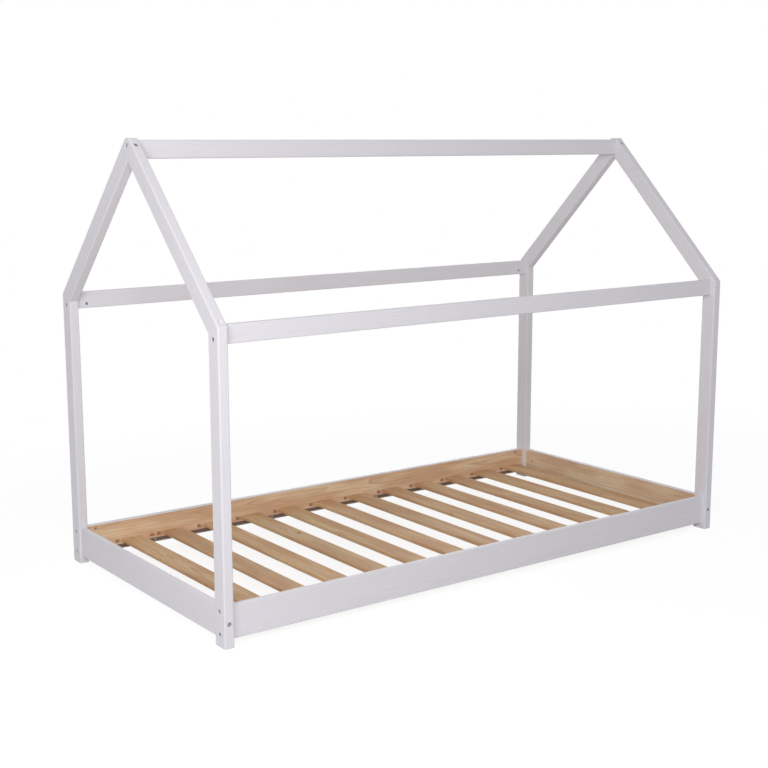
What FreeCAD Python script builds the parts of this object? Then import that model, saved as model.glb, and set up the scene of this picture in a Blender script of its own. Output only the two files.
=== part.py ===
import FreeCAD, Part
import math
import os

# House frame bed in painted and bare pine, in millimetres.
# X runs along the bed, Y across it and Z up. The origin is on the floor, in the middle of the bed.
# Every corner piece is drawn at the +X, +Y corner and mirrored to the others.

V = FreeCAD.Vector

# ---- driving dimensions -------------------------------------------------------------------------
overall_length = 1990.0        # outer face to outer face of the posts, along the bed
overall_width = 1008.0         # outer face to outer face of the posts, across the bed
post_height = 866.0            # floor to the rafter's seat
roof_pitch = 44.8              # degrees

frame_thickness = 31.0         # posts, rafters and ridge beam share one section: this is its thin side
frame_width = 54.0             # and this its wide side
frame_edge_radius = 4.5        # rounding on the long edges of that section
profile_radius = 6.0           # rounding of the knee and of the apex, seen from the end
apex_flat = 24.0               # width of the level cut across the apex
joint_chamfer = 0.7            # eased edge where a post and a rafter meet

rail_thickness = 18.0          # boards round the mattress
rail_edge_radius = 3.0
side_rail_height = 98.0
side_rail_floor_gap = 19.2     # floor to the board's lower edge
end_rail_height = 95.5
end_rail_floor_gap = 22.8

eaves_height = 53.0
eaves_thickness = 20.0
eaves_edge_radius = 3.0

ledge_width = 22.0             # battens that carry the slats
ledge_height = 11.0
ledge_rise = 11.8              # side rail's lower edge to the batten's
ledge_post_gap = 44.0          # leaves the barrel nut's hole free
ledge_edge_radius = 1.0

slat_count = 12
slat_width = 73.0
slat_thickness = 12.0
slat_edge_radius = 2.0
slat_end_gap = 1.5             # slat's end to the side rail
first_slat_centre = 169.0      # from the left end rail's inner face
last_slat_centre = 67.0        # from the right end rail's inner face

# ---- fasteners ----------------------------------------------------------------------------------
bolt_diameter = 6.0
bolt_head_diameter = 12.0
bolt_head_height = 5.0
bolt_head_bevel = 0.8
bolt_head_below_face = 1.5     # the head's top lies this far inside its recess
hex_socket = 4.0               # across flats
hex_socket_depth = 3.0
bolt_past_nut = 8.0            # from the nut's axis to the bolt's tip
tip_bevel = 1.0

nut_diameter = 10.0
nut_inset = 34.5               # from the rail's end to the nut's axis
nut_end_cover = 3.0            # nut's end to each face of its board
ridge_nut_length = 14.0
nut_slot_width = 1.4
nut_slot_depth = 1.2

dowel_diameter = 8.0
dowel_bevel = 0.8
dowel_in_frame = 10.0          # length in a post or rafter
dowel_in_rail = 20.0           # length in the piece that it holds

side_bolt_low_inset = 17.8     # side rail's lower bolt, from the board's lower edge
side_bolt_high_inset = 13.7    # and its upper one, from the board's upper edge
end_dowel_spread = 28.0        # end rail's dowels, each way from its bolt in the board's middle
eaves_bolt_drop = 12.0         # eaves bolt below the post's top, its dowel as far above
ridge_bolt_rise = 11.5         # ridge bolt above the beam's middle, its dowel as far below

frame_screw_diameter = 6.0
knee_screw_inset = 11.0        # from the post's outer long face
knee_screw_seat = 16.0         # its head's seat above the post's top
knee_screw_length = 70.0
knee_dowel_inset = 13.0        # from the post's inner long face
apex_screw_inset = 31.0        # where it enters the slope, from the bed's middle plane
apex_screw_recess = 8.0
apex_screw_length = 80.0
screw_point = 5.0

wood_screw_diameter = 3.5
wood_screw_head = 7.0
wood_screw_point = 3.0
cross_width = 1.0
cross_length = 3.6
cross_depth = 1.3
slat_screw_length = 20.0
ledge_screw_length = 35.0

# ---- clearances ---------------------------------------------------------------------------------
recess_clearance = 0.5         # round a bolt's head
shank_clearance = 0.5          # round a bolt's shank in wood
snug = 0.05                    # round dowels, threads and screws
nut_clearance = 0.1            # round a barrel nut
hole_end_play = 0.5            # past the end of a dowel or a bolt

# ---- places worked out from those ---------------------------------------------------------------
half_length = overall_length / 2
half_width = overall_width / 2
frame_x = half_length - frame_thickness / 2      # middle plane of the gables
frame_y = half_width - frame_width / 2           # middle plane of the long sides
inner_post_x = half_length - frame_thickness
inner_post_y = half_width - frame_width

side_rail_middle = side_rail_floor_gap + side_rail_height / 2
end_rail_middle = end_rail_floor_gap + end_rail_height / 2
rail_inner_x = frame_x - rail_thickness / 2
rail_inner_y = frame_y - rail_thickness / 2

ledge_bottom = side_rail_floor_gap + ledge_rise
slat_bottom = ledge_bottom + ledge_height
slat_top = slat_bottom + slat_thickness
ledge_y = rail_inner_y - ledge_width / 2
ledge_half_length = inner_post_x - ledge_post_gap
first_slat_x = first_slat_centre - rail_inner_x
slat_pitch = (rail_inner_x - last_slat_centre - first_slat_x) / (slat_count - 1)
slat_places = [first_slat_x + number * slat_pitch for number in range(slat_count)]

pitch_angle = math.radians(roof_pitch)
slope = math.tan(pitch_angle)
plumb_depth = frame_width / math.cos(pitch_angle)        # rafter's depth measured straight down
knee_height = post_height + plumb_depth - frame_width * slope
slopes_meet = knee_height + half_width * slope
apex_height = slopes_meet - apex_flat / 2 * slope
crotch_height = slopes_meet - plumb_depth
ridge_middle = (apex_height + crotch_height) / 2

eaves_bolt_height = post_height - eaves_bolt_drop
eaves_dowel_height = post_height + eaves_bolt_drop
ridge_bolt_height = ridge_middle + ridge_bolt_rise
ridge_dowel_height = ridge_middle - ridge_bolt_rise
recess_depth = bolt_head_height + bolt_head_below_face
recess_diameter = bolt_head_diameter + 2 * recess_clearance
knee_screw_y = half_width - knee_screw_inset
knee_dowel_y = inner_post_y + knee_dowel_inset

# directions in which things face at the +X, +Y corner
OUT_X = V(1, 0, 0)
OUT_Y = V(0, 1, 0)
UP = V(0, 0, 1)


# ---- small helpers ------------------------------------------------------------------------------
def fuse(shapes):
    return shapes[0].multiFuse(shapes[1:]) if len(shapes) > 1 else shapes[0]


def place(shape, point, direction):
    """Turn a shape drawn along +Z to face a direction, and move its origin to a point."""
    shape = shape.copy()
    shape.Placement = FreeCAD.Placement(point, FreeCAD.Rotation(UP, direction))
    return shape


def rod(diameter, start, end, point, direction):
    """Cylinder about the line through a point, from start to end along a direction."""
    return place(Part.makeCylinder(diameter / 2, end - start, V(0, 0, start)), point, direction)


def mirror_x(shape):
    return shape.mirror(V(0, 0, 0), OUT_X)


def mirror_y(shape):
    return shape.mirror(V(0, 0, 0), OUT_Y)


def centred_box(size_x, size_y, size_z, centre):
    corner = centre - V(size_x / 2, size_y / 2, size_z / 2)
    return Part.makeBox(size_x, size_y, size_z, corner)


def edges_along(shape, direction):
    """Straight edges of a shape that run along a direction."""
    straight = [edge for edge in shape.Edges if isinstance(edge.Curve, Part.Line)]
    return [edge for edge in straight if abs(edge.tangentAt(edge.FirstParameter).dot(direction)) > 0.999]


def board(size_x, size_y, size_z, centre, along, radius):
    """Box with its long edges rounded."""
    shape = centred_box(size_x, size_y, size_z, centre)
    return shape.makeFillet(radius, edges_along(shape, along))


def level_edges(shape, height):
    """Edges that lie wholly at one height."""
    boxes = [(edge, edge.BoundBox) for edge in shape.Edges]
    return [edge for edge, box in boxes if abs(box.ZMin - height) < 0.01 and abs(box.ZMax - height) < 0.01]


def write(name, shape):
    shape.exportStep("parts/" + name + ".step")


# ---- fasteners, drawn with the head facing +Z and its seat at the origin ------------------------
def hexagon(across_flats, height, base):
    radius = across_flats / math.sqrt(3)
    corners = [V(radius * math.cos(math.radians(a)), radius * math.sin(math.radians(a)), base)
               for a in range(0, 420, 60)]
    return Part.Face(Part.makePolygon(corners)).extrude(V(0, 0, height))


def socket_head():
    head = Part.makeCylinder(bolt_head_diameter / 2, bolt_head_height)
    head = head.makeChamfer(bolt_head_bevel, level_edges(head, bolt_head_height))
    return head.cut(hexagon(hex_socket, hex_socket_depth, bolt_head_height - hex_socket_depth))


def bolt(length):
    shank = Part.makeCylinder(bolt_diameter / 2, length, V(0, 0, -length))
    shank = shank.makeChamfer(tip_bevel, level_edges(shank, -length))
    return socket_head().fuse(shank)


def frame_screw(length):
    radius = frame_screw_diameter / 2
    body = Part.makeCylinder(radius, length - screw_point, V(0, 0, screw_point - length))
    point = Part.makeCone(0.4 * radius, radius, screw_point, V(0, 0, -length))
    return socket_head().fuse(body).fuse(point)


def bolt_hole(depth):
    """Recess for the head and clearance for the shank, seat at the origin."""
    head = Part.makeCylinder(recess_diameter / 2, recess_depth)
    shank = Part.makeCylinder(bolt_diameter / 2 + shank_clearance, depth, V(0, 0, -depth))
    return head.fuse(shank)


def barrel_nut(length):
    """Barrel along Z about the origin, threaded across along X, with a screwdriver slot on top."""
    body = Part.makeCylinder(nut_diameter / 2, length, V(0, 0, -length / 2))
    thread = rod(bolt_diameter + 2 * snug, -nut_diameter, nut_diameter, V(0, 0, 0), OUT_X)
    slot = centred_box(nut_diameter * 2, nut_slot_width, nut_slot_depth * 2, V(0, 0, length / 2))
    return body.cut(thread).cut(slot)


def dowel():
    """Dowel along Z: the origin is where the two pieces meet, with the frame above."""
    peg = Part.makeCylinder(dowel_diameter / 2, dowel_in_frame + dowel_in_rail, V(0, 0, -dowel_in_rail))
    return peg.makeChamfer(dowel_bevel, level_edges(peg, dowel_in_frame) + level_edges(peg, -dowel_in_rail))


def dowel_hole(point, direction):
    return rod(dowel_diameter + 2 * snug, -dowel_in_rail - hole_end_play, dowel_in_frame + hole_end_play,
               point, direction)


def wood_screw(length):
    """Countersunk screw, its head's top at the origin and its point down."""
    head_depth = (wood_screw_head - wood_screw_diameter) / 2
    head = Part.makeCone(wood_screw_diameter / 2, wood_screw_head / 2, head_depth, V(0, 0, -head_depth))
    body = Part.makeCylinder(wood_screw_diameter / 2, length - head_depth - wood_screw_point,
                             V(0, 0, wood_screw_point - length))
    point = Part.makeCone(0.3, wood_screw_diameter / 2, wood_screw_point, V(0, 0, -length))
    cross = [centred_box(cross_length, cross_width, 2 * cross_depth, V(0, 0, 0)),
             centred_box(cross_width, cross_length, 2 * cross_depth, V(0, 0, 0))]
    return head.fuse(body).fuse(point).cut(fuse(cross))


def wood_screw_hole(length):
    head_depth = (wood_screw_head - wood_screw_diameter) / 2
    radius = wood_screw_diameter / 2 + snug
    head = Part.makeCone(radius, wood_screw_head / 2 + snug, head_depth, V(0, 0, -head_depth))
    return head.fuse(Part.makeCylinder(radius, length, V(0, 0, -length)))


# ---- where the fasteners go, at the +X, +Y corner -----------------------------------------------
# Each entry is the head's seat or the meeting plane, and the way that the head or the frame lies.
seat_x = half_length - recess_depth
seat_y = half_width - recess_depth
side_bolt_low = side_rail_floor_gap + side_bolt_low_inset
side_bolt_high = side_rail_floor_gap + side_rail_height - side_bolt_high_inset
side_bolts = [(V(seat_x, frame_y, height), OUT_X) for height in (side_bolt_low, side_bolt_high)]
end_bolts = [(V(frame_x, seat_y, end_rail_middle), OUT_Y)]
eaves_bolts = [(V(seat_x, frame_y, eaves_bolt_height), OUT_X)]
ridge_bolts = [(V(seat_x, 0, ridge_bolt_height), OUT_X)]
knee_screws = [(V(frame_x, knee_screw_y, post_height + knee_screw_seat), UP)]

end_dowel_heights = (end_rail_middle - end_dowel_spread, end_rail_middle + end_dowel_spread)
end_dowels = [(V(frame_x, inner_post_y, height), OUT_Y) for height in end_dowel_heights]
eaves_dowels = [(V(inner_post_x, frame_y, eaves_dowel_height), OUT_X)]
ridge_dowels = [(V(inner_post_x, 0, ridge_dowel_height), OUT_X)]
knee_dowels = [(V(frame_x, knee_dowel_y, post_height), UP * -1)]

nut_x = inner_post_x - nut_inset
nut_y = inner_post_y - nut_inset
short_bolt = seat_x - nut_x + bolt_past_nut
long_bolt = seat_y - nut_y + bolt_past_nut
side_nuts = [(V(nut_x, point.y, point.z), OUT_Y * -1) for point, facing in side_bolts]
end_nuts = [(V(point.x, nut_y, point.z), OUT_X * -1) for point, facing in end_bolts]
eaves_nuts = [(V(nut_x, point.y, point.z), OUT_Y * -1) for point, facing in eaves_bolts]
ridge_nuts = [(V(nut_x, 0, ridge_bolt_height), OUT_Y)]
rail_nut_length = rail_thickness - 2 * nut_end_cover
eaves_nut_length = eaves_thickness - 2 * nut_end_cover

# The apex screw enters the front rafter square to its slope and runs on into the back rafter.
slope_out = V(0, -math.sin(pitch_angle), math.cos(pitch_angle))
apex_screw_mouth = V(frame_x, -apex_screw_inset, slopes_meet - apex_screw_inset * slope)
apex_screw_seat = apex_screw_mouth - slope_out * apex_screw_recess


def holes(shape, cutters):
    return shape.cut(fuse(cutters)) if cutters else shape


def bolt_holes(places, length):
    return [place(bolt_hole(length + hole_end_play), point, facing) for point, facing in places]


def dowel_holes(places):
    return [dowel_hole(point, facing) for point, facing in places]


def nut_holes(places, length, thickness):
    """Blind holes for barrel nuts, open on the face that the nut's slot looks out of."""
    return [rod(nut_diameter + 2 * nut_clearance, -length / 2, thickness / 2 + 1, point, facing)
            for point, facing in places]


# ---- frame --------------------------------------------------------------------------------------
def post():
    centre = V(frame_x, frame_y, post_height / 2)
    shape = board(frame_thickness, frame_width, post_height, centre, UP, frame_edge_radius)
    shape = shape.makeChamfer(joint_chamfer, level_edges(shape, post_height) + level_edges(shape, 0))
    cutters = bolt_holes(side_bolts, short_bolt)
    cutters += bolt_holes(end_bolts, long_bolt)
    cutters += bolt_holes(eaves_bolts, short_bolt)
    cutters += dowel_holes(end_dowels)
    cutters += dowel_holes(knee_dowels)
    cutters += [rod(frame_screw_diameter + 2 * snug, -knee_screw_length - hole_end_play, 0, point, facing)
                for point, facing in knee_screws]
    return holes(shape, cutters)


def rounded_corner(before, corner, after, radius):
    """Points where an arc in a corner starts, turns through and ends."""
    towards_before = (before - corner).normalize()
    towards_after = (after - corner).normalize()
    half_angle = towards_before.getAngle(towards_after) / 2
    reach = radius / math.tan(half_angle)
    start = corner + towards_before * reach
    end = corner + towards_after * reach
    middle_way = (towards_before + towards_after).normalize()
    through = corner + middle_way * (radius / math.sin(half_angle) - radius)
    return start, through, end


def rafter():
    """Back right rafter, without its holes: an end profile drawn at x = 0, then given its thickness."""
    foot = V(0, half_width, post_height)
    knee = V(0, half_width, knee_height)
    shoulder = V(0, apex_flat / 2, apex_height)
    top = V(0, 0, apex_height)
    crotch = V(0, 0, crotch_height)
    heel = V(0, inner_post_y, post_height)
    knee_in, knee_through, knee_out = rounded_corner(foot, knee, shoulder, profile_radius)
    apex_in, apex_through, apex_out = rounded_corner(knee, shoulder, top, profile_radius)
    outline = [
        Part.makeLine(foot, knee_in),
        Part.Arc(knee_in, knee_through, knee_out).toShape(),
        Part.makeLine(knee_out, apex_in),
        Part.Arc(apex_in, apex_through, apex_out).toShape(),
        Part.makeLine(apex_out, top),
        Part.makeLine(top, crotch),
        Part.makeLine(crotch, heel),
        Part.makeLine(heel, foot),
    ]
    shape = Part.Face(Part.Wire(outline)).extrude(V(frame_thickness, 0, 0))
    shape.translate(V(inner_post_x, 0, 0))
    rounded = []
    for edge in shape.Edges:
        box = edge.BoundBox
        on_side_face = box.XLength < 0.01
        in_middle_plane = box.YMax < 0.01
        on_seat = box.ZMax < post_height + 0.01
        if on_side_face and not in_middle_plane and not on_seat:
            rounded.append(edge)
    shape = shape.makeFillet(frame_edge_radius, rounded)
    return shape.makeChamfer(joint_chamfer, level_edges(shape, post_height))


def drilled_rafter(takes_screw_head):
    shape = rafter()
    cutters = bolt_holes(ridge_bolts, short_bolt)
    cutters += dowel_holes(eaves_dowels)
    cutters += dowel_holes(ridge_dowels)
    cutters += dowel_holes(knee_dowels)
    cutters += [rod(frame_screw_diameter + 2 * snug, -knee_screw_length, 0, point, facing)
                for point, facing in knee_screws]
    cutters += [rod(recess_diameter, 0, half_width, point, facing) for point, facing in knee_screws]
    if takes_screw_head:
        # a front rafter, mirrored before its apex hole is drilled
        shape = mirror_y(holes(shape, cutters))
        cutters = [rod(recess_diameter, 0, 2 * apex_screw_recess, apex_screw_seat, slope_out)]
    cutters.append(rod(frame_screw_diameter + 2 * snug, -apex_screw_length - hole_end_play, 0,
                       apex_screw_seat, slope_out))
    return holes(shape, cutters)


def ridge_beam():
    length = 2 * inner_post_x
    shape = board(length, frame_thickness, frame_width, V(0, 0, ridge_middle), OUT_X, frame_edge_radius)
    cutters = bolt_holes(ridge_bolts, short_bolt) + dowel_holes(ridge_dowels)
    cutters += nut_holes(ridge_nuts, ridge_nut_length, frame_thickness)
    return holes(shape, cutters + [mirror_x(cutter) for cutter in cutters])


def eaves_rail():
    length = 2 * inner_post_x
    shape = board(length, eaves_thickness, eaves_height, V(0, frame_y, post_height), OUT_X, eaves_edge_radius)
    cutters = bolt_holes(eaves_bolts, short_bolt) + dowel_holes(eaves_dowels)
    cutters += nut_holes(eaves_nuts, eaves_nut_length, eaves_thickness)
    return holes(shape, cutters + [mirror_x(cutter) for cutter in cutters])


# ---- boards round the mattress, battens and slats -----------------------------------------------
ledge_screw_places = [(left + right) / 2 for left, right in zip(slat_places[0::3], slat_places[1::3])]
ledge_screw_height = ledge_bottom + ledge_height / 2
ledge_front_y = rail_inner_y - ledge_width


def ledge_screw_holes():
    return [place(wood_screw_hole(ledge_screw_length), V(x, ledge_front_y, ledge_screw_height), OUT_Y * -1)
            for x in ledge_screw_places]


def side_rail():
    length = 2 * inner_post_x
    centre = V(0, frame_y, side_rail_middle)
    shape = board(length, rail_thickness, side_rail_height, centre, OUT_X, rail_edge_radius)
    cutters = bolt_holes(side_bolts, short_bolt)
    cutters += nut_holes(side_nuts, rail_nut_length, rail_thickness)
    cutters += [mirror_x(cutter) for cutter in cutters]
    return holes(shape, cutters + ledge_screw_holes())


def end_rail():
    length = 2 * inner_post_y
    centre = V(frame_x, 0, end_rail_middle)
    shape = board(rail_thickness, length, end_rail_height, centre, OUT_Y, rail_edge_radius)
    cutters = bolt_holes(end_bolts, long_bolt) + dowel_holes(end_dowels)
    cutters += nut_holes(end_nuts, rail_nut_length, rail_thickness)
    return holes(shape, cutters + [mirror_y(cutter) for cutter in cutters])


def slat_ledge():
    centre = V(0, ledge_y, ledge_bottom + ledge_height / 2)
    shape = board(2 * ledge_half_length, ledge_width, ledge_height, centre, OUT_X, ledge_edge_radius)
    cutters = ledge_screw_holes()
    cutters += [place(wood_screw_hole(slat_screw_length), V(x, ledge_y, slat_top), UP) for x in slat_places]
    return holes(shape, cutters)


def slat(x):
    length = 2 * (rail_inner_y - slat_end_gap)
    centre = V(x, 0, slat_bottom + slat_thickness / 2)
    shape = board(slat_width, length, slat_thickness, centre, OUT_Y, slat_edge_radius)
    return holes(shape, [place(wood_screw_hole(slat_screw_length), V(x, y, slat_top), UP)
                         for y in (-ledge_y, ledge_y)])


# ---- groups of like fasteners -------------------------------------------------------------------
def at_four_corners(shapes):
    right = shapes + [mirror_y(shape) for shape in shapes]
    return Part.makeCompound(right + [mirror_x(shape) for shape in right])


def at_both_ends(shapes):
    return Part.makeCompound(shapes + [mirror_x(shape) for shape in shapes])


def at_both_sides(shapes):
    return Part.makeCompound(shapes + [mirror_y(shape) for shape in shapes])


def placed(shape, places):
    return [place(shape, point, facing) for point, facing in places]


def turned_nut(length, places):
    """Barrel nuts, each turned about its own axis so that its thread faces the bolt."""
    nuts = []
    for point, facing in places:
        nut = place(barrel_nut(length), point, facing)
        bolt_way = OUT_Y if abs(facing.x) > 0.5 else OUT_X
        thread_way = nut.Placement.Rotation.multVec(OUT_X)
        nut.rotate(point, facing, math.degrees(thread_way.getAngle(bolt_way)))
        nuts.append(nut)
    return nuts


os.makedirs("parts", exist_ok=True)

back_right_post = post()
write("post_back_right", back_right_post)
write("post_back_left", mirror_x(back_right_post))
write("post_front_right", mirror_y(back_right_post))
write("post_front_left", mirror_x(mirror_y(back_right_post)))

back_right_rafter = drilled_rafter(takes_screw_head=False)
front_right_rafter = drilled_rafter(takes_screw_head=True)
write("rafter_back_right", back_right_rafter)
write("rafter_back_left", mirror_x(back_right_rafter))
write("rafter_front_right", front_right_rafter)
write("rafter_front_left", mirror_x(front_right_rafter))

write("ridge_beam", ridge_beam())

for name, make in (("eaves_rail", eaves_rail), ("side_rail", side_rail), ("slat_ledge", slat_ledge)):
    back = make()
    write(name + "_back", back)
    write(name + "_front", mirror_y(back))

right_end_rail = end_rail()
write("end_rail_right", right_end_rail)
write("end_rail_left", mirror_x(right_end_rail))

for number, x in enumerate(slat_places, start=1):
    write("slat_%02d" % number, slat(x))

write("side_rail_bolts", at_four_corners(placed(bolt(short_bolt), side_bolts)))
write("end_rail_bolts", at_four_corners(placed(bolt(long_bolt), end_bolts)))
write("eaves_rail_bolts", at_four_corners(placed(bolt(short_bolt), eaves_bolts)))
write("ridge_beam_bolts", at_both_ends(placed(bolt(short_bolt), ridge_bolts)))
write("side_rail_barrel_nuts", at_four_corners(turned_nut(rail_nut_length, side_nuts)))
write("end_rail_barrel_nuts", at_four_corners(turned_nut(rail_nut_length, end_nuts)))
write("eaves_rail_barrel_nuts", at_four_corners(turned_nut(eaves_nut_length, eaves_nuts)))
write("ridge_beam_barrel_nuts", at_both_ends(turned_nut(ridge_nut_length, ridge_nuts)))
write("end_rail_dowels", at_four_corners(placed(dowel(), end_dowels)))
write("eaves_rail_dowels", at_four_corners(placed(dowel(), eaves_dowels)))
write("ridge_beam_dowels", at_both_ends(placed(dowel(), ridge_dowels)))
write("rafter_foot_dowels", at_four_corners(placed(dowel(), knee_dowels)))
write("rafter_foot_screws", at_four_corners(placed(frame_screw(knee_screw_length), knee_screws)))
write("rafter_apex_screws", at_both_ends([place(frame_screw(apex_screw_length), apex_screw_seat, slope_out)]))

slat_screws = [place(wood_screw(slat_screw_length), V(x, ledge_y, slat_top), UP) for x in slat_places]
write("slat_screws", at_both_sides(slat_screws))
ledge_screws = [place(wood_screw(ledge_screw_length), V(x, ledge_front_y, ledge_screw_height), OUT_Y * -1)
                for x in ledge_screw_places]
write("slat_ledge_screws", at_both_sides(ledge_screws))

print("knee %.1f, apex %.1f, ridge middle %.1f" % (knee_height, apex_height, ridge_middle))
print("slat pitch %.2f, short bolt %.1f, long bolt %.1f" % (slat_pitch, short_bolt, long_bolt))
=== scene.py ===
import math

import bpy
from mathutils import Euler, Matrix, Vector


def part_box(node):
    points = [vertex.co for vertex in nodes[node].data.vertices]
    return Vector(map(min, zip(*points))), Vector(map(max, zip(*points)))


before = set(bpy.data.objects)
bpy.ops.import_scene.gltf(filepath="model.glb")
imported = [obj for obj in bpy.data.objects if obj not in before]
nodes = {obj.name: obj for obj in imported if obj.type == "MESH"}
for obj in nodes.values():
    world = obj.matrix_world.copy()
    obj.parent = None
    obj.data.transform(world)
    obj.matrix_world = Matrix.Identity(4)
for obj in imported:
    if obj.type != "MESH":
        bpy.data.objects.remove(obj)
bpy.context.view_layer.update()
scene = bpy.context.scene
print("frame loaded:", len(nodes), "pieces of the bed")


# small helpers for building node trees

def newMaterial(name):
    material = bpy.data.materials.new(name)
    material.use_nodes = True
    material.node_tree.nodes.clear()
    return material, material.node_tree


def addNode(tree, kind, inputs=None, **settings):
    # inputs go by name or number: another node's output is linked, and a value is written on the socket
    node = tree.nodes.new(kind)
    for option, value in settings.items():
        setattr(node, option, value)
    for socket, value in (inputs or {}).items():
        if isinstance(value, bpy.types.NodeSocket):
            tree.links.new(value, node.inputs[socket])
        else:
            node.inputs[socket].default_value = value
    return node


def calc(tree, operation, *values):
    return addNode(tree, "ShaderNodeMath", dict(enumerate(values)), operation=operation).outputs[0]


def vectorCalc(tree, operation, *values):
    node = addNode(tree, "ShaderNodeVectorMath", dict(enumerate(values)), operation=operation)
    return node.outputs["Value" if operation == "LENGTH" else "Vector"]


fadeIn, fadeOut = (0.0, 1.0), (1.0, 0.0)


def smoothRange(tree, value, span, to=fadeIn):
    inputs = {"Value": value, "From Min": span[0], "From Max": span[1], "To Min": to[0], "To Max": to[1]}
    return addNode(tree, "ShaderNodeMapRange", inputs, interpolation_type="SMOOTHSTEP").outputs["Result"]


def mixColour(tree, factor, a, b, blend="MIX"):
    # a and b are outputs, or plain colours of three numbers
    a, b = ((*value, 1.0) if isinstance(value, tuple) else value for value in (a, b))
    node = addNode(tree, "ShaderNodeMix", {0: factor, 6: a, 7: b}, data_type="RGBA", blend_type=blend,
                   clamp_factor=True)
    return node.outputs[2]


def noise(tree, vector, scale, detail, roughness, distortion=0.0):
    inputs = {"Vector": vector, "Scale": scale, "Detail": detail, "Roughness": roughness,
              "Distortion": distortion}
    return addNode(tree, "ShaderNodeTexNoise", inputs).outputs


def addSurface(tree, colour, rough, height, look):
    # every finish ends alike, with its colour, roughness and a slight relief on one shader
    bump = addNode(tree, "ShaderNodeBump",
                   {"Height": height, "Strength": look["bump"], "Distance": look["relief"]})
    inputs = {"Base Color": colour, "Roughness": rough, "Normal": bump.outputs["Normal"], **look["shader"]}
    shader = addNode(tree, "ShaderNodeBsdfPrincipled", inputs)
    addNode(tree, "ShaderNodeOutputMaterial", {"Surface": shader.outputs["BSDF"]})


# which way each board's grain runs, as the turn that lays the board's own X along it
roofPitch = 44.8
grainTurns = {
    "along": (0, 0, 0),
    "across": (0, 0, 90),
    "up": (0, -90, 0),
    "frontSlope": (0, -roofPitch, 90),
    "backSlope": (0, roofPitch, 90),
}

# the growth rings, knots and fibre that every board shares, in metres
grain = {
    "ringWidth": 0.0042,        # one year's growth
    "ringWander": 0.010,        # how far the rings drift along a board
    "year": [(0.0, 0.0), (0.45, 0.12), (0.80, 0.55), (0.93, 1.0), (1.0, 0.0)],  # its darkness
    "knotSpacing": 0.34,        # along the grain
    "knotRow": 0.060,           # across it
    "knotScatter": 0.85,        # 0 is straight rows
    "knotRadius": 0.0060,
    "knotSquash": 0.62,         # makes them longer along the grain
    "knotPull": 0.016,          # how far rings bend round a knot
    "knotEdge": (0.75, 1.15),   # where the dark core ends, in knot radii
    "knotHalo": (0.9, 3.6),     # and where the bent rings round it do
    "fibreSpan": (0.30, 0.72),  # part of the fibre noise that shows as streaks
    "roughSpan": (0.25, 0.75),  # and that changes the gloss
    "seedStep": (3.17, 0.731, 0.419),   # keeps the boards from looking alike
}

# noises in a board's own axes: waves to a metre along and across it, detail and roughness
grainNoise = {
    "drift": (1 / 0.55, 9.0, 3.0, 0.5),
    "fibre": (1 / 0.070, 1 / 0.0015, 2.0, 0.6),
    "patches": (2.6, 16.0, 2.0, 0.55),
    "wear": (22.0, 90.0, 4.0, 0.65),
    "ragged": (40.0, 120.0, 3.0, 0.6),
}


def boardNoise(tree, vector, kind):
    along, across, detail, roughness = grainNoise[kind]
    stretched = addNode(tree, "ShaderNodeMapping", {"Vector": vector, "Scale": (along, across, across)})
    return noise(tree, stretched.outputs["Vector"], 1.0, detail, roughness)


def knotNodes(tree, shifted, board):
    # cells in the plane of the board's wide face, so that each knot goes through the thickness
    cellScale, backScale = [1 / grain["knotSpacing"], 0.0, 0.0], [grain["knotSpacing"], 0.0, 0.0]
    cellScale[board["wide"]], backScale[board["wide"]] = 1 / grain["knotRow"], grain["knotRow"]
    cells = addNode(tree, "ShaderNodeMapping", {"Vector": shifted, "Scale": cellScale}).outputs["Vector"]
    knots = addNode(tree, "ShaderNodeTexVoronoi",
                    {"Vector": cells, "Scale": 1.0, "Randomness": grain["knotScatter"]},
                    feature="F1", voronoi_dimensions="3D")
    away = vectorCalc(tree, "SUBTRACT", cells, knots.outputs["Position"])
    away = vectorCalc(tree, "MULTIPLY", away, backScale)
    away = vectorCalc(tree, "MULTIPLY", away, (grain["knotSquash"], 1.0, 1.0))
    distance = vectorCalc(tree, "LENGTH", away)
    # only some cells have a knot, and those differ in size
    chance = addNode(tree, "ShaderNodeSeparateColor", {"Color": knots.outputs["Color"]}).outputs[0]
    size = smoothRange(tree, chance, (1.0 - board["knotty"], 1.0), (0.0, grain["knotRadius"]))
    reach = calc(tree, "DIVIDE", distance, calc(tree, "ADD", size, 0.0001))     # never by zero
    core = smoothRange(tree, reach, grain["knotEdge"], fadeOut)
    halo = smoothRange(tree, reach, grain["knotHalo"], fadeOut)
    return core, halo


def latewood(tree, years):
    # a year's growth darkens slowly and ends in a thin hard band
    node = addNode(tree, "ShaderNodeValToRGB", {"Fac": years})
    ramp = node.color_ramp
    ramp.interpolation = "EASE"
    while len(ramp.elements) < len(grain["year"]):
        ramp.elements.new(0.5)
    for element, (position, level) in zip(ramp.elements, grain["year"]):
        element.position = position
        element.color = (level, level, level, 1.0)
    return node.outputs["Color"]


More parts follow.
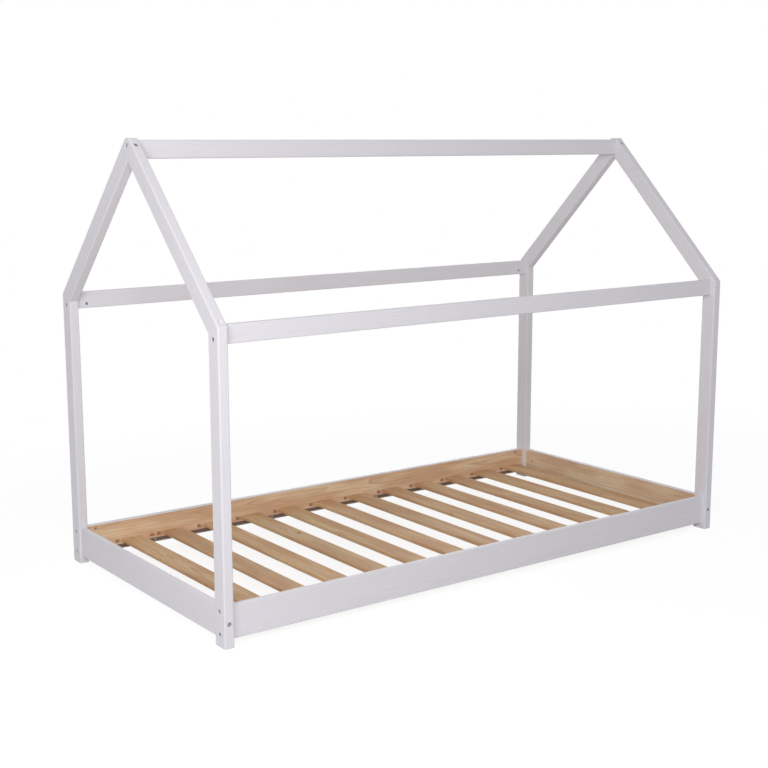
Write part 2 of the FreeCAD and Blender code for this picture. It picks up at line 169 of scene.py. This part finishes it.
def timberNodes(tree, board):
    coordinates = addNode(tree, "ShaderNodeTexCoord")
    turn = tuple(math.radians(angle) for angle in grainTurns[board["grain"]])
    local = addNode(tree, "ShaderNodeMapping",
                    {"Vector": coordinates.outputs["Object"], "Location": board["centre"], "Rotation": turn},
                    vector_type="TEXTURE").outputs["Vector"]
    shifted = vectorCalc(tree, "ADD", local, tuple(board["seed"] * step for step in grain["seedStep"]))
    # slow drift of the rings
    drift = vectorCalc(tree, "SUBTRACT", boardNoise(tree, shifted, "drift")["Color"], (0.5, 0.5, 0.5))
    sway = 2 * grain["ringWander"]
    wandering = vectorCalc(tree, "ADD", local, vectorCalc(tree, "MULTIPLY", drift, (0.0, sway, sway)))
    # rings round the tree's heart, bent round the knots
    knotCore, knotHalo = knotNodes(tree, shifted, board)
    axes = addNode(tree, "ShaderNodeSeparateXYZ", {"Vector": wandering}).outputs
    outY = calc(tree, "SUBTRACT", axes[1], board["pith"][0])
    outZ = calc(tree, "SUBTRACT", axes[2], board["pith"][1])
    radius = calc(tree, "SQRT", calc(tree, "ADD", calc(tree, "MULTIPLY", outY, outY),
                                     calc(tree, "MULTIPLY", outZ, outZ)))
    lean = calc(tree, "MULTIPLY", axes[0], board["lean"])
    pull = calc(tree, "MULTIPLY", knotHalo, grain["knotPull"])
    grown = calc(tree, "ADD", calc(tree, "ADD", radius, lean), pull)
    years = calc(tree, "FRACT", calc(tree, "DIVIDE", grown, grain["ringWidth"]))
    place = addNode(tree, "ShaderNodeSeparateXYZ", {"Vector": local}).outputs
    return {"shifted": shifted, "place": place, "late": latewood(tree, years),
            "fibre": boardNoise(tree, shifted, "fibre")["Fac"],
            "patches": boardNoise(tree, shifted, "patches")["Fac"],
            "knotCore": knotCore, "knotHalo": knotHalo}


def timberRelief(tree, timber, look):
    late = calc(tree, "MULTIPLY", timber["late"], look["lateRelief"])
    return calc(tree, "ADD", late, calc(tree, "MULTIPLY", timber["fibre"], look["fibreRelief"]))


pine = {
    "early": (0.690, 0.525, 0.350),
    "late": (0.500, 0.305, 0.160),
    "lateShare": 0.75,
    "pinkish": (0.575, 0.375, 0.235),
    "pinkSpan": (0.40, 0.60),
    "knot": (0.270, 0.140, 0.070),
    "knotRing": (0.520, 0.290, 0.130),
    "knotRingShare": 0.45,
    "fibreShade": (0.84, 1.08),
    "roughness": (0.52, 0.68),
    "lateRelief": 0.6,
    "fibreRelief": 0.5,
    "bump": 0.55,
    "relief": 0.00018,
    "shader": {"IOR": 1.47},
}


def pineColour(tree, timber, tint):
    pinkness = smoothRange(tree, timber["patches"], pine["pinkSpan"])
    ground = mixColour(tree, pinkness, pine["early"], pine["pinkish"])
    wood = mixColour(tree, calc(tree, "MULTIPLY", timber["late"], pine["lateShare"]), ground, pine["late"])
    streaks = smoothRange(tree, timber["fibre"], grain["fibreSpan"], pine["fibreShade"])
    wood = mixColour(tree, 1.0, wood, streaks, "MULTIPLY")
    ring = calc(tree, "MULTIPLY", timber["knotHalo"], pine["knotRingShare"])
    wood = mixColour(tree, ring, wood, pine["knotRing"])
    wood = mixColour(tree, timber["knotCore"], wood, pine["knot"])
    return mixColour(tree, 1.0, wood, tint, "MULTIPLY")


# painted shade on the boards beside each slat's end, and painted shade on the ledges' front faces, where the
# slats rest
slatRest = {
    "markStart": (0.0345, 0.0530),  # how a mark comes in and ends, left of the slat's middle
    "markEnd": (0.0580, 0.0610),
    "markLow": (0.0395, 0.0425),    # and above the floor
    "markHigh": (0.0505, 0.0545),
    "shadeMark": (0.330, 0.190, 0.110),
    "frontShade": (0.170, 0.110, 0.073),
    "frontShadeEdge": (0.0010, 0.0002),   # how far behind the ledge's front face it comes in
}


def middleOf(name):
    low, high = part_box(name)
    return (low + high) / 2


def slatShadeMarks(tree, timber, board):
    # 1 in a short patch beside the left edge of each slat's end, fading towards the slat: where the painted
    # shade goes
    firstSlat = middleOf("slat_01").x
    half = (middleOf("slat_02").x - firstSlat) / 2
    x = calc(tree, "SUBTRACT", timber["place"][0], firstSlat - board["centre"][0])
    left = calc(tree, "MULTIPLY", calc(tree, "WRAP", x, half, -half), -1.0)
    starts = smoothRange(tree, left, slatRest["markStart"])
    ends = smoothRange(tree, left, slatRest["markEnd"], fadeOut)
    z = calc(tree, "ADD", timber["place"][2], board["centre"][2])
    above = smoothRange(tree, z, slatRest["markLow"])
    below = smoothRange(tree, z, slatRest["markHigh"], fadeOut)
    band = calc(tree, "MULTIPLY", above, below)
    return calc(tree, "MULTIPLY", band, calc(tree, "MULTIPLY", starts, ends))


def barePine(name, board, tint, shadedWay=None):
    # shadedWay: which way along the board's own Y its front face with painted shade looks, if it has one
    material, tree = newMaterial(name)
    timber = timberNodes(tree, board)
    colour = pineColour(tree, timber, tint)
    if shadedWay:
        # painted shade: the ledge's front face is darkened for the shade under the slats
        across = calc(tree, "MULTIPLY", timber["place"][1], shadedWay)
        frontShade = smoothRange(tree, across, [board["half"][0] - depth for depth in slatRest["frontShadeEdge"]])
        colour = mixColour(tree, frontShade, colour, slatRest["frontShade"])
    rough = smoothRange(tree, timber["fibre"], grain["roughSpan"], pine["roughness"])
    addSurface(tree, colour, rough, timberRelief(tree, timber, pine), pine)
    return material


paint = {
    "white": (0.812, 0.790, 0.838),
    "grainShade": (0.745, 0.722, 0.772),
    "grainSpan": (0.36, 0.66),      # which of the wood's patches let the grain through
    "grainShows": (0.10, 0.55),     # and how much of it
    "brushed": (0.965, 1.015),      # the brush's streaks
    "worn": (0.700, 0.665, 0.655),
    "wornKnots": 0.35,
    "wornEdges": 0.55,
    "wornRim": (0.0050, 0.0006),    # how far in from the board's edges the coat thins
    "wearSpan": (0.52, 0.72),
    "roughness": (0.36, 0.50),
    "lateRelief": 0.8,
    "fibreRelief": 0.45,
    "bump": 0.6,
    "relief": 0.00012,
    "shader": {"IOR": 1.5},
}


def paintedNodes(tree, timber, board):
    # white coat that lets the grain show faintly, a little thinner on the edges
    through = smoothRange(tree, timber["patches"], paint["grainSpan"], paint["grainShows"])
    showing = calc(tree, "MULTIPLY", timber["late"], through)
    coat = mixColour(tree, showing, paint["white"], paint["grainShade"])
    brushed = smoothRange(tree, timber["fibre"], grain["fibreSpan"], paint["brushed"])
    coat = mixColour(tree, 1.0, coat, brushed, "MULTIPLY")
    knots = calc(tree, "MULTIPLY", timber["knotCore"], paint["wornKnots"])
    coat = mixColour(tree, knots, coat, paint["worn"])
    rims = []
    for axis, half in zip((1, 2), board["half"]):
        away = calc(tree, "ABSOLUTE", timber["place"][axis])
        rims.append(smoothRange(tree, away, [half - depth for depth in paint["wornRim"]]))
    wear = boardNoise(tree, timber["shifted"], "wear")["Fac"]
    worn = smoothRange(tree, wear, paint["wearSpan"], (0.0, paint["wornEdges"]))
    thin = calc(tree, "MULTIPLY", calc(tree, "MULTIPLY", *rims), worn)
    coat = mixColour(tree, thin, coat, paint["worn"])
    rough = smoothRange(tree, timber["fibre"], grain["roughSpan"], paint["roughness"])
    return coat, rough, timberRelief(tree, timber, paint)


def paintedTimber(name, board):
    material, tree = newMaterial(name)
    coat, rough, height = paintedNodes(tree, timberNodes(tree, board), board)
    addSurface(tree, coat, rough, height, paint)
    return material


# boards that are painted outside and bare inside
masking = {
    "overTop": 0.0028,              # how far the paint laps down the bare face
    "ragged": 0.0012,               # how far its edge strays from that
    "blur": 0.0006,                 # how soft it is
    "faceEdge": (0.0012, 0.0004),   # how far behind the bare face the pine comes in
}


def halfPaintedBoard(name, board, inward, tint, marked):
    # inward: the board's own thickness axis (1 or 2) and which way along it the mattress lies
    material, tree = newMaterial(name)
    timber = timberNodes(tree, board)
    coat, paintRough, height = paintedNodes(tree, timber, board)
    wood = pineColour(tree, timber, tint)
    # painted shade beside each slat's end on the side rails
    if marked:
        wood = mixColour(tree, slatShadeMarks(tree, timber, board), wood, slatRest["shadeMark"])
    thicknessAxis, way = inward
    highAxis = 3 - thicknessAxis
    halfThick, halfHigh = board["half"][thicknessAxis - 1], board["half"][highAxis - 1]
    inside = calc(tree, "MULTIPLY", timber["place"][thicknessAxis], way)
    onFace = smoothRange(tree, inside, [halfThick - depth for depth in masking["faceEdge"]])
    ragged = boardNoise(tree, timber["shifted"], "ragged")["Fac"]
    wobble = calc(tree, "MULTIPLY_ADD", ragged, 2 * masking["ragged"], -masking["ragged"])
    outwards = calc(tree, "ADD", calc(tree, "ABSOLUTE", timber["place"][highAxis]), wobble)
    paintLine = halfHigh - masking["overTop"]
    inBand = smoothRange(tree, outwards, (paintLine - masking["blur"], paintLine + masking["blur"]), fadeOut)
    bare = calc(tree, "MULTIPLY", onFace, inBand)
    woodRough = smoothRange(tree, timber["fibre"], grain["roughSpan"], pine["roughness"])
    rough = addNode(tree, "ShaderNodeMix", {0: bare, 2: paintRough, 3: woodRough}, data_type="FLOAT")
    colour = mixColour(tree, bare, coat, wood)
    addSurface(tree, colour, rough.outputs[0], height, paint)
    return material


def boardOf(name, cut, number=0):
    # where a board lies, from its box, and how its log was cut; what cut says itself comes first
    low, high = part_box(name)
    turn = Euler([math.radians(angle) for angle in grainTurns[cut["grain"]]]).to_matrix().transposed()
    half = turn @ ((high - low) / 2)
    board = {"centre": tuple(middleOf(name)), "half": (abs(half[1]), abs(half[2]))}
    board.update(cut, seed=cut["seed"] + number)
    board["wide"] = 1 if board["half"][0] > board["half"][1] else 2     # its wide way is its own Y or Z
    return board


def dress(name, material):
    mesh = nodes[name].data
    mesh.materials.clear()
    mesh.materials.append(material)


# how each timber was cut: its first seed, the tree's heart in the board's own Y and Z, how far the
# rings lean along it, and its share of knots
posts = {"grain": "up", "seed": 1, "pith": (0.060, 0.045), "lean": 0.012, "knotty": 0.10}
rafters = {
    "seed": 21, "pith": (0.050, -0.055), "lean": -0.010, "knotty": 0.10,
    "half": (0.0155, 0.027),
    "fromRidge": 0.233,         # the sloping timber's own middle, which its box doesn't give
    "aboveFloor": 1.1196,
}
beams = {
    "ridge_beam": {"seed": 45, "pith": (0.050, -0.040), "lean": 0.008},
    "eaves_rail_front": {"seed": 46, "pith": (0.042, 0.050), "lean": -0.006},
    "eaves_rail_back": {"seed": 47, "pith": (-0.046, 0.044), "lean": 0.007},
}
corners = [(side, end) for end in ("left", "right") for side in ("front", "back")]
for number, (side, end) in enumerate(corners):
    name = "post_%s_%s" % (side, end)
    dress(name, paintedTimber("paint_" + name, boardOf(name, posts, number)))
    name = "rafter_%s_%s" % (side, end)
    y = rafters["fromRidge"] if side == "back" else -rafters["fromRidge"]
    slope = dict(rafters, grain=side + "Slope", centre=(middleOf(name).x, y, rafters["aboveFloor"]))
    dress(name, paintedTimber("paint_" + name, boardOf(name, slope, number)))
for name, cut in beams.items():
    dress(name, paintedTimber("paint_" + name, boardOf(name, dict(cut, grain="along", knotty=0.12))))
print("frame painted")

# the side and end rails, with the tint of their bare side, raised above the slats' pine to paint in light
# that the lamps don't give the inner faces
boards = {
    "side_rail_front": {"grain": "along", "seed": 70, "pith": (0.055, -0.030), "lean": 0.009,
                        "inward": (1, 1), "tint": (1.30, 1.29, 1.28)},
    "side_rail_back": {"grain": "along", "seed": 71, "pith": (-0.050, 0.025), "lean": -0.008,
                       "inward": (1, -1), "tint": (1.33, 1.33, 1.35)},
    "end_rail_left": {"grain": "across", "seed": 72, "pith": (0.060, 0.020), "lean": 0.010,
                      "inward": (1, -1), "tint": (1.26, 1.27, 1.32)},
    "end_rail_right": {"grain": "across", "seed": 73, "pith": (-0.055, -0.030), "lean": -0.009,
                       "inward": (1, 1), "tint": (1.23, 1.31, 1.42)},
}
for name, cut in boards.items():
    board = boardOf(name, dict(cut, knotty=0.14))
    marked = name.startswith("side")
    dress(name, halfPaintedBoard("board_" + name, board, cut["inward"], cut["tint"], marked))
print("boards painted outside, bare inside")

slats = {
    "cut": {"grain": "across", "seed": 100, "knotty": 0.22},
    "heart": (0.030, -0.045),   # how far the tree's heart swings sideways, and how far below it lies
    "heartRise": 0.012,
    "lean": 0.010,
    "steps": (2.1, 1.7, 1.3),   # angles between one slat's swing, rise and lean and the next one's
    "tone": (1.10, 1.00, 0.87),
    "tints": [(1.00, 0.98, 0.96), (0.98, 0.97, 0.97), (1.02, 1.00, 0.98), (0.97, 0.97, 0.97),
              (1.00, 1.00, 0.98), (1.01, 0.98, 0.97), (0.98, 0.98, 0.98), (1.00, 0.98, 0.97),
              (1.02, 1.00, 0.99), (0.99, 0.97, 0.96), (1.00, 0.99, 0.98), (0.98, 0.97, 0.96)],
}
for number, tint in enumerate(slats["tints"]):
    name = "slat_%02d" % (number + 1)
    swing, rise, lean = (number * step for step in slats["steps"])
    pith = (slats["heart"][0] * math.sin(swing), slats["heart"][1] - slats["heartRise"] * math.cos(rise))
    cut = dict(slats["cut"], pith=pith, lean=slats["lean"] * math.cos(lean))
    warm = tuple(level * tone for level, tone in zip(tint, slats["tone"]))
    dress(name, barePine("pine_" + name, boardOf(name, cut, number), warm))

ledges = {
    "cut": {"grain": "along", "seed": 130, "pith": (0.05, 0.04), "lean": 0.006, "knotty": 0.10},
    "tint": (1.30, 1.32, 1.60),
    "shadedWays": {"slat_ledge_front": 1, "slat_ledge_back": -1},
}
for number, (name, shadedWay) in enumerate(ledges["shadedWays"].items()):
    # each ledge's front face gets painted shade
    board = boardOf(name, ledges["cut"], number)
    dress(name, barePine("pine_" + name, board, ledges["tint"], shadedWay))
print("slats and ledges finished")

steel = {
    "bright": (0.400, 0.400, 0.410),
    "dull": (0.230, 0.230, 0.240),
    "cloud": (120.0, 2.0, 0.5),     # noise scale, detail and roughness
    "cloudSpan": (0.35, 0.65),
    "mottle": (700.0, 3.0, 0.6),
    "mottleSpan": (0.3, 0.7),
    "roughness": (0.28, 0.48),
    "bump": 0.4,
    "relief": 0.00005,
    "shader": {"Metallic": 1.0},
}


def platedSteel():
    material, tree = newMaterial("plated_steel")
    place = addNode(tree, "ShaderNodeTexCoord").outputs["Object"]
    mottled = noise(tree, place, *steel["mottle"])["Fac"]
    clouded = noise(tree, place, *steel["cloud"])["Fac"]
    colour = mixColour(tree, smoothRange(tree, clouded, steel["cloudSpan"]), steel["dull"], steel["bright"])
    rough = smoothRange(tree, mottled, steel["mottleSpan"], steel["roughness"])
    addSurface(tree, colour, rough, mottled, steel)
    return material


beech = {
    "pale": (0.600, 0.430, 0.290),
    "fleck": (0.420, 0.260, 0.150),
    "flecks": (420.0, 3.0, 0.6, 0.6),   # noise scale, detail, roughness and distortion
    "fleckSpan": (0.55, 0.72),
    "roughSpan": (0.3, 0.7),
    "roughness": (0.50, 0.65),
    "bump": 0.4,
    "relief": 0.0001,
    "shader": {"IOR": 1.5},
}


def beechDowel():
    material, tree = newMaterial("beech")
    place = addNode(tree, "ShaderNodeTexCoord").outputs["Object"]
    flecks = noise(tree, place, *beech["flecks"])["Fac"]
    colour = mixColour(tree, smoothRange(tree, flecks, beech["fleckSpan"]), beech["pale"], beech["fleck"])
    rough = smoothRange(tree, flecks, beech["roughSpan"], beech["roughness"])
    addSurface(tree, colour, rough, flecks, beech)
    return material


steelMaterial, beechMaterial = platedSteel(), beechDowel()
for name in nodes:
    if name.endswith(("_bolts", "_nuts", "_screws")):
        dress(name, steelMaterial)
    elif name.endswith("_dowels"):
        dress(name, beechMaterial)
print("fasteners finished")

# camera, as the photograph was taken
view = {
    "place": (-2.7101, -3.5754, 1.3694),
    "yaw": 36.2726,             # from across the bed towards its right end, degrees
    "pitch": 10.2445,           # downwards
    "roll": -0.0594,
    "focalPixels": 1347.84,
    "picturePixels": 768,
    "sensor": 36.0,
    "clip": (0.05, 60.0),
}
cameraData = bpy.data.cameras.new("camera")
cameraData.sensor_width = view["sensor"]
cameraData.lens = view["sensor"] * view["focalPixels"] / view["picturePixels"]
cameraData.clip_start, cameraData.clip_end = view["clip"]
camera = bpy.data.objects.new("camera", cameraData)
camera.location = view["place"]
yaw, pitch, roll = (math.radians(view[angle]) for angle in ("yaw", "pitch", "roll"))
forward = Vector((math.sin(yaw) * math.cos(pitch), math.cos(yaw) * math.cos(pitch), -math.sin(pitch)))
camera.rotation_mode = "QUATERNION"
camera.rotation_quaternion = forward.to_track_quat("-Z", "Y") @ Euler((0, 0, roll)).to_quaternion()
scene.collection.objects.link(camera)
scene.camera = camera

# studio: a large soft lamp in front on the left, a small one beside it that draws the edges' shadows,
# and a wide low fill behind, in pale surroundings
lamps = {
    "soft": {"place": (-2.6, -3.3, 1.9), "aim": (-0.3, 0.0, 0.9), "size": (1.6, 1.2), "power": 63.0},
    "low": {"place": (-2.9, -1.8, 1.6), "aim": (-0.4, 0.0, 0.7), "size": (0.45, 0.45), "power": 14.0},
    "behind": {"place": (3.8, 4.8, 0.4), "aim": (0.0, 0.0, 0.7), "size": (3.0, 0.6), "power": 85.0},
}
for name, lamp in lamps.items():
    lampData = bpy.data.lights.new(name, "AREA")
    lampData.shape = "RECTANGLE"
    lampData.size, lampData.size_y = lamp["size"]
    lampData.energy = lamp["power"]
    lampObject = bpy.data.objects.new(name, lampData)
    lampObject.location = lamp["place"]
    lampObject.rotation_mode = "QUATERNION"
    lampObject.rotation_quaternion = (Vector(lamp["aim"]) - Vector(lamp["place"])).to_track_quat("-Z", "Y")
    scene.collection.objects.link(lampObject)

white = (1.0, 1.0, 1.0, 1.0)


def seenRays(tree):
    # 1 for what the camera sees, also in a reflection or through glass, 0 for light on the bed
    rays = addNode(tree, "ShaderNodeLightPath").outputs
    indirect = calc(tree, "MAXIMUM", rays["Is Glossy Ray"], rays["Is Transmission Ray"])
    return calc(tree, "MAXIMUM", rays["Is Camera Ray"], indirect)


# light falls on the bed from all round, seen is the backdrop's white
surroundings = {"light": 0.43, "seen": 1.0}
world = bpy.data.worlds.new("surroundings")
scene.world = world
world.use_nodes = True
tree = world.node_tree
tree.nodes.clear()
level = addNode(tree, "ShaderNodeMapRange",
                {"Value": seenRays(tree), "To Min": surroundings["light"], "To Max": surroundings["seen"]})
background = addNode(tree, "ShaderNodeBackground", {"Strength": level.outputs["Result"], "Color": white})
addNode(tree, "ShaderNodeOutputWorld", {"Surface": background.outputs["Background"]})

floorLook = {
    "half": 9.0,
    "bounce": (0.64, 0.64, 0.645),  # what it gives back to the bed's undersides
    "seen": (0.22, 0.22, 0.22),     # how much of the shadows the camera is shown
    "lift": 0.86,                   # white that the floor adds for the camera on top of that
    "fade": (1.25, 2.3),            # metres from the bed's middle where it turns into the backdrop
    "oval": (0.72, 1.0, 1.0),       # makes the fade longer along the bed
}
floorMesh = bpy.data.meshes.new("floor")
half = floorLook["half"]
floorMesh.from_pydata([(-half, -half, 0), (half, -half, 0), (half, half, 0), (-half, half, 0)], [],
                      [(0, 1, 2, 3)])
floor = bpy.data.objects.new("floor", floorMesh)
scene.collection.objects.link(floor)
floorMaterial, tree = newMaterial("floor")
place = addNode(tree, "ShaderNodeNewGeometry").outputs["Position"]
fromMiddle = vectorCalc(tree, "LENGTH", vectorCalc(tree, "MULTIPLY", place, floorLook["oval"]))
fade = smoothRange(tree, fromMiddle, floorLook["fade"])
bouncing = addNode(tree, "ShaderNodeBsdfDiffuse", {"Color": (*floorLook["bounce"], 1.0)})
shown = addNode(tree, "ShaderNodeBsdfDiffuse", {"Color": (*floorLook["seen"], 1.0)})
lift = addNode(tree, "ShaderNodeEmission", {"Color": white, "Strength": floorLook["lift"]})
lifted = addNode(tree, "ShaderNodeAddShader", {0: shown.outputs[0], 1: lift.outputs[0]})
paper = addNode(tree, "ShaderNodeEmission", {"Color": white, "Strength": 1.0})
nearFar = addNode(tree, "ShaderNodeMixShader", {0: fade, 1: lifted.outputs[0], 2: paper.outputs[0]})
onlySeen = addNode(tree, "ShaderNodeMixShader",
                   {0: seenRays(tree), 1: bouncing.outputs[0], 2: nearFar.outputs[0]})
addNode(tree, "ShaderNodeOutputMaterial", {"Surface": onlySeen.outputs[0]})
floorMesh.materials.append(floorMaterial)
print("studio set up")

scene.view_settings.view_transform = "Standard"
